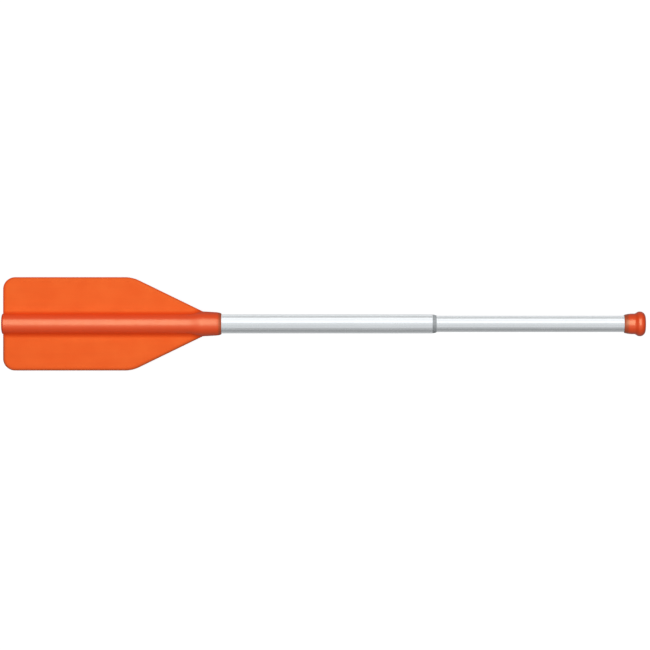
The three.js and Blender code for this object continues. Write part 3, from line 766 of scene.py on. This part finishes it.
# The nut's radius is the hexagon's, flat / cos(a mod 60 - 30), with its corners where the box is wider.
# It is cut by a collar at one end and a chamfer at the other.
def makeNut():
    low, high = inMm("stop_nut")
    flat, corner, sides = lock["nutFlat"], lock["nutFlat"] * 2 / math.sqrt(3), lock["nutSides"]
    angle = np.linspace(0, 360, sides, endpoint=False)[None, :]
    start = 0 if high[1] > high[2] else 30
    hexagon = flat / np.cos(np.radians(np.mod(angle - start, 60) - 30))
    collarEnd, chamferFrom = low[0] + lock["nutCollarHeight"], high[0] - lock["nutChamfer"]
    cutters = np.array([
        [low[0], flat * lock["nutCollar"]], [low[0] + lock["nutCollarEdge"], flat * lock["nutCollarSwell"]],
        [collarEnd, flat], [collarEnd, corner], [chamferFrom, corner], [high[0], flat - lock["nutFace"]],
    ])
    outside = np.minimum(cutters[:, 1:], hexagon)
    hole = np.full((2, sides), lock["hole"])
    x = np.concatenate([cutters[:, :1], [[high[0]], [low[0]]]])
    points, faces = ringSolid(x, np.concatenate([outside, hole]), sides)
    putMesh("stop_nut_turned", points, faces, steel, "upper_shaft", ["stop_nut"])


# A flat washer with softened edges.
def makeWasher(node, body):
    low, high = inMm(node)
    hole, soft = lock["hole"], lock["washerRound"]
    points, faces = turned(roundedProfile([
        [low[0], hole, soft], [low[0], high[1], soft], [high[0], high[1], soft], [high[0], hole, soft],
    ], 4, looped=True), lock["sides"])
    putMesh(node + "_turned", points, faces, steel, body, [node])


# A ring of round section, turned about the shaft: (middle - half cos a, centre + half sin a).
def makeRing(node, body):
    low, high = inMm(node)
    half, middle = (high[0] - low[0]) / 2, (low[0] + high[0]) / 2
    a = np.linspace(0, 2 * math.pi, lock["sealSteps"], endpoint=False)
    circle = np.stack([middle - half * np.cos(a), high[1] - half + half * np.sin(a)], -1)
    points, faces = turned(circle, lock["sealSides"])
    putMesh(node + "_moulded", points, faces, rubber, body, [node])


# The plug: a flange that runs in the lower tube, and a spigot with a groove for the seal in the upper one.
def makePlug():
    low, high = inMm("lock_plug")
    tubeLow, tubeHigh = inMm("upper_tube")
    flangeEnd = tubeLow[0] - lock["plugGap"]
    spigot = tubeHigh[1] - tube["wall"] - lock["slideGap"]
    seal, half = tubeLow[0] + lock["sealFromTube"], lock["sealSection"] / 2 + lock["slideGap"]
    groove = spigot - lock["sealSection"] - lock["slideGap"]
    hole, holeEnd = lock["hole"], low[0] + lock["plugHole"]
    points, faces = turned(roundedProfile([
        [holeEnd, 0, 0], [holeEnd, hole, 0.5], [low[0], hole, 0.4], [low[0], high[1], lock["plugFlange"]],
        [flangeEnd, high[1], 0.3], [flangeEnd, spigot, 0.1], [seal - half, spigot, 0.15],
        [seal - half, groove, 0.2], [seal + half, groove, 0.2], [seal + half, spigot, 0.15],
        [high[0], spigot, 1.5], [high[0], 0, 0],
    ], 5), lock["plugSides"])
    putMesh("lock_plug_moulding", points, faces, blackNylon, "upper_shaft", ["lock_plug"])


makeStud()
makeNut()
makeWasher("stop_washer", "upper_shaft")
makeWasher("thrust_washer", "expander")
makeRing("plug_seal", "upper_shaft")
makeRing("drag_ring", "expander")
makePlug()
print("screws and lock done")


# ---- studio ----
tubePieces = ["lower_tube_drawn", "upper_tube_drawn", "mouth_bush_moulding"]
studio = {
    "lens": 200.0,
    "sensor": 36.0,
    "farClip": 100.0,
    "frameWidth": 1.1913,   # metres across the picture at the shaft's height
    "aim": (0.00284, -0.0021),
    "floorGap": 0.0002,
    "floorHalf": 6.0,
    "floorGlow": 0.88,
    "boxDistance": 1.6,
    "boxes": {              # x, angle from overhead, size, brightness, what it lights
        "blade_box": (-0.39, 17, (1.2, 1.8), 2.42, ["blade_moulding", "tip_plug_moulding"]),
        "grip_box": (0.53, 17, (0.8, 1.7), 3.4, ["grip_moulding", "mouth_bush_moulding"]),
        "tube_box_top": (0, 47, (6.0, 2.1), 0.58, tubePieces),
        "tube_box_far": (0, 88, (6.0, 2.1), 0.32, tubePieces),
        "tube_box_far_low": (0, 142, (6.0, 2.2), 0.50, tubePieces),
        "tube_box_near_top": (0, -54, (6.0, 1.2), 0.22, tubePieces),
        "tube_box_near": (0, -95, (6.0, 1.5), 0.13, tubePieces),
        "tube_box_near_low": (0, -147, (6.0, 1.9), 0.30, tubePieces),
    },
}

floorZ = cadLow[2] - studio["floorGap"]
half = studio["floorHalf"]
floorCorners = [(-half, -half, floorZ), (half, -half, floorZ), (half, half, floorZ), (-half, half, floorZ)]
floorMesh = bpy.data.meshes.new("studio_floor")
floorMesh.from_pydata(floorCorners, [], [(0, 1, 2, 3)])
floorFinish = Finish("pale_floor")
paper = floorFinish.noise(900.0, 2.0)
floorMesh.materials.append(floorFinish.shade(
    Base_Color=floorFinish.mixed(paper, (0.42, 0.42, 0.42), (0.46, 0.46, 0.46)),
    Roughness=0.9,
    Specular_IOR_Level=0.1,
    Emission_Color=(1, 1, 1, 1),
    Emission_Strength=studio["floorGlow"],
))
floor = bpy.data.objects.new("studio_floor", floorMesh)
floor.visible_diffuse = False
floor.visible_glossy = False
floor.visible_shadow = False
bpy.context.scene.collection.objects.link(floor)


# A soft box over the shaft at x, turned by an angle from overhead towards the far side. It lights only its
# receivers: the boxes that bring up the plastic would blow out the bright tubes.
def softbox(name, x, angle, size, brightness, receivers):
    turn = math.radians(angle)
    data = bpy.data.lights.new(name, "AREA")
    data.shape = "RECTANGLE"
    data.size, data.size_y = size
    data.energy = brightness * math.pi * size[0] * size[1]
    light = bpy.data.objects.new(name, data)
    light.location = (x, studio["boxDistance"] * math.sin(turn), studio["boxDistance"] * math.cos(turn))
    light.rotation_euler = (-turn, 0, 0)
    light.visible_camera = False
    bpy.context.scene.collection.objects.link(light)
    lightOn = bpy.data.collections.new(name + "_lights")
    for piece in receivers:
        lightOn.objects.link(bpy.data.objects[piece])
    light.light_linking.receiver_collection = lightOn


for name, box in studio["boxes"].items():
    softbox(name, *box)


# The studio round the oar is a tent. Its brightness turns about the shaft, from straight down (-180) over the
# near side (-90), the top (0) and the far side (90) to straight down again, and fades towards the shaft's two
# ends, the directions -1 and 1. The camera sees a plain white backdrop in its place.
tent = {
    "around": [(-180, 0.2), (-60, 0.2), (-40, 0.55), (-27, 0.67), (-14, 0.75), (0, 0.79), (12, 0.75),
               (40, 0.5), (60, 0.2), (180, 0.2)],
    "ends": [(-1.0, 0.3), (-0.65, 0.6), (-0.25, 1.0), (0.3, 1.0), (0.65, 0.6), (1.0, 0.3)],
    "tint": (0.975, 0.99, 1.0),
    "backdrop": (1.0, 1.0, 1.0),
}


# A ramp of brightness stops at places from low to high, tinted.
def tentRamp(sky, stops, low, high, tint, value):
    colours = [((place - low) / (high - low), tuple(bright * t for t in tint)) for place, bright in stops]
    return sky.add("ShaderNodeValToRGB", {"stops": colours}, {0: value})


world = bpy.data.worlds.new("studio")
sky = Nodes(world)
direction = sky.add("ShaderNodeTexCoord", out="Generated")
along, across, up = (sky.coordinate(direction, axis) for axis in (alongX, alongY, alongZ))
turnShare = across.sum("ARCTAN2", across, up) * (0.5 / math.pi) + 0.5
glow = tentRamp(sky, tent["around"], -180, 180, tent["tint"], turnShare)
ends = tentRamp(sky, tent["ends"], -1, 1, (1, 1, 1), along * 0.5 + 0.5)
litTent = sky.mixed(1.0, glow, ends, "MULTIPLY")
seen = sky.add("ShaderNodeLightPath", out="Is Camera Ray")
sky.feed(sky.nodes["Background"], {"Color": sky.mixed(seen, litTent, tent["backdrop"])})
bpy.context.scene.world = world

cameraData = bpy.data.cameras.new("camera")
cameraData.lens = studio["lens"]
cameraData.sensor_width = studio["sensor"]
cameraData.clip_end = studio["farClip"]
camera = bpy.data.objects.new("camera", cameraData)
camera.location = (*studio["aim"], studio["lens"] / studio["sensor"] * studio["frameWidth"])
bpy.context.scene.collection.objects.link(camera)
bpy.context.scene.camera = camera
bpy.context.scene.view_settings.view_transform = "Standard"
print("studio lit")

bpy.context.view_layer.update()
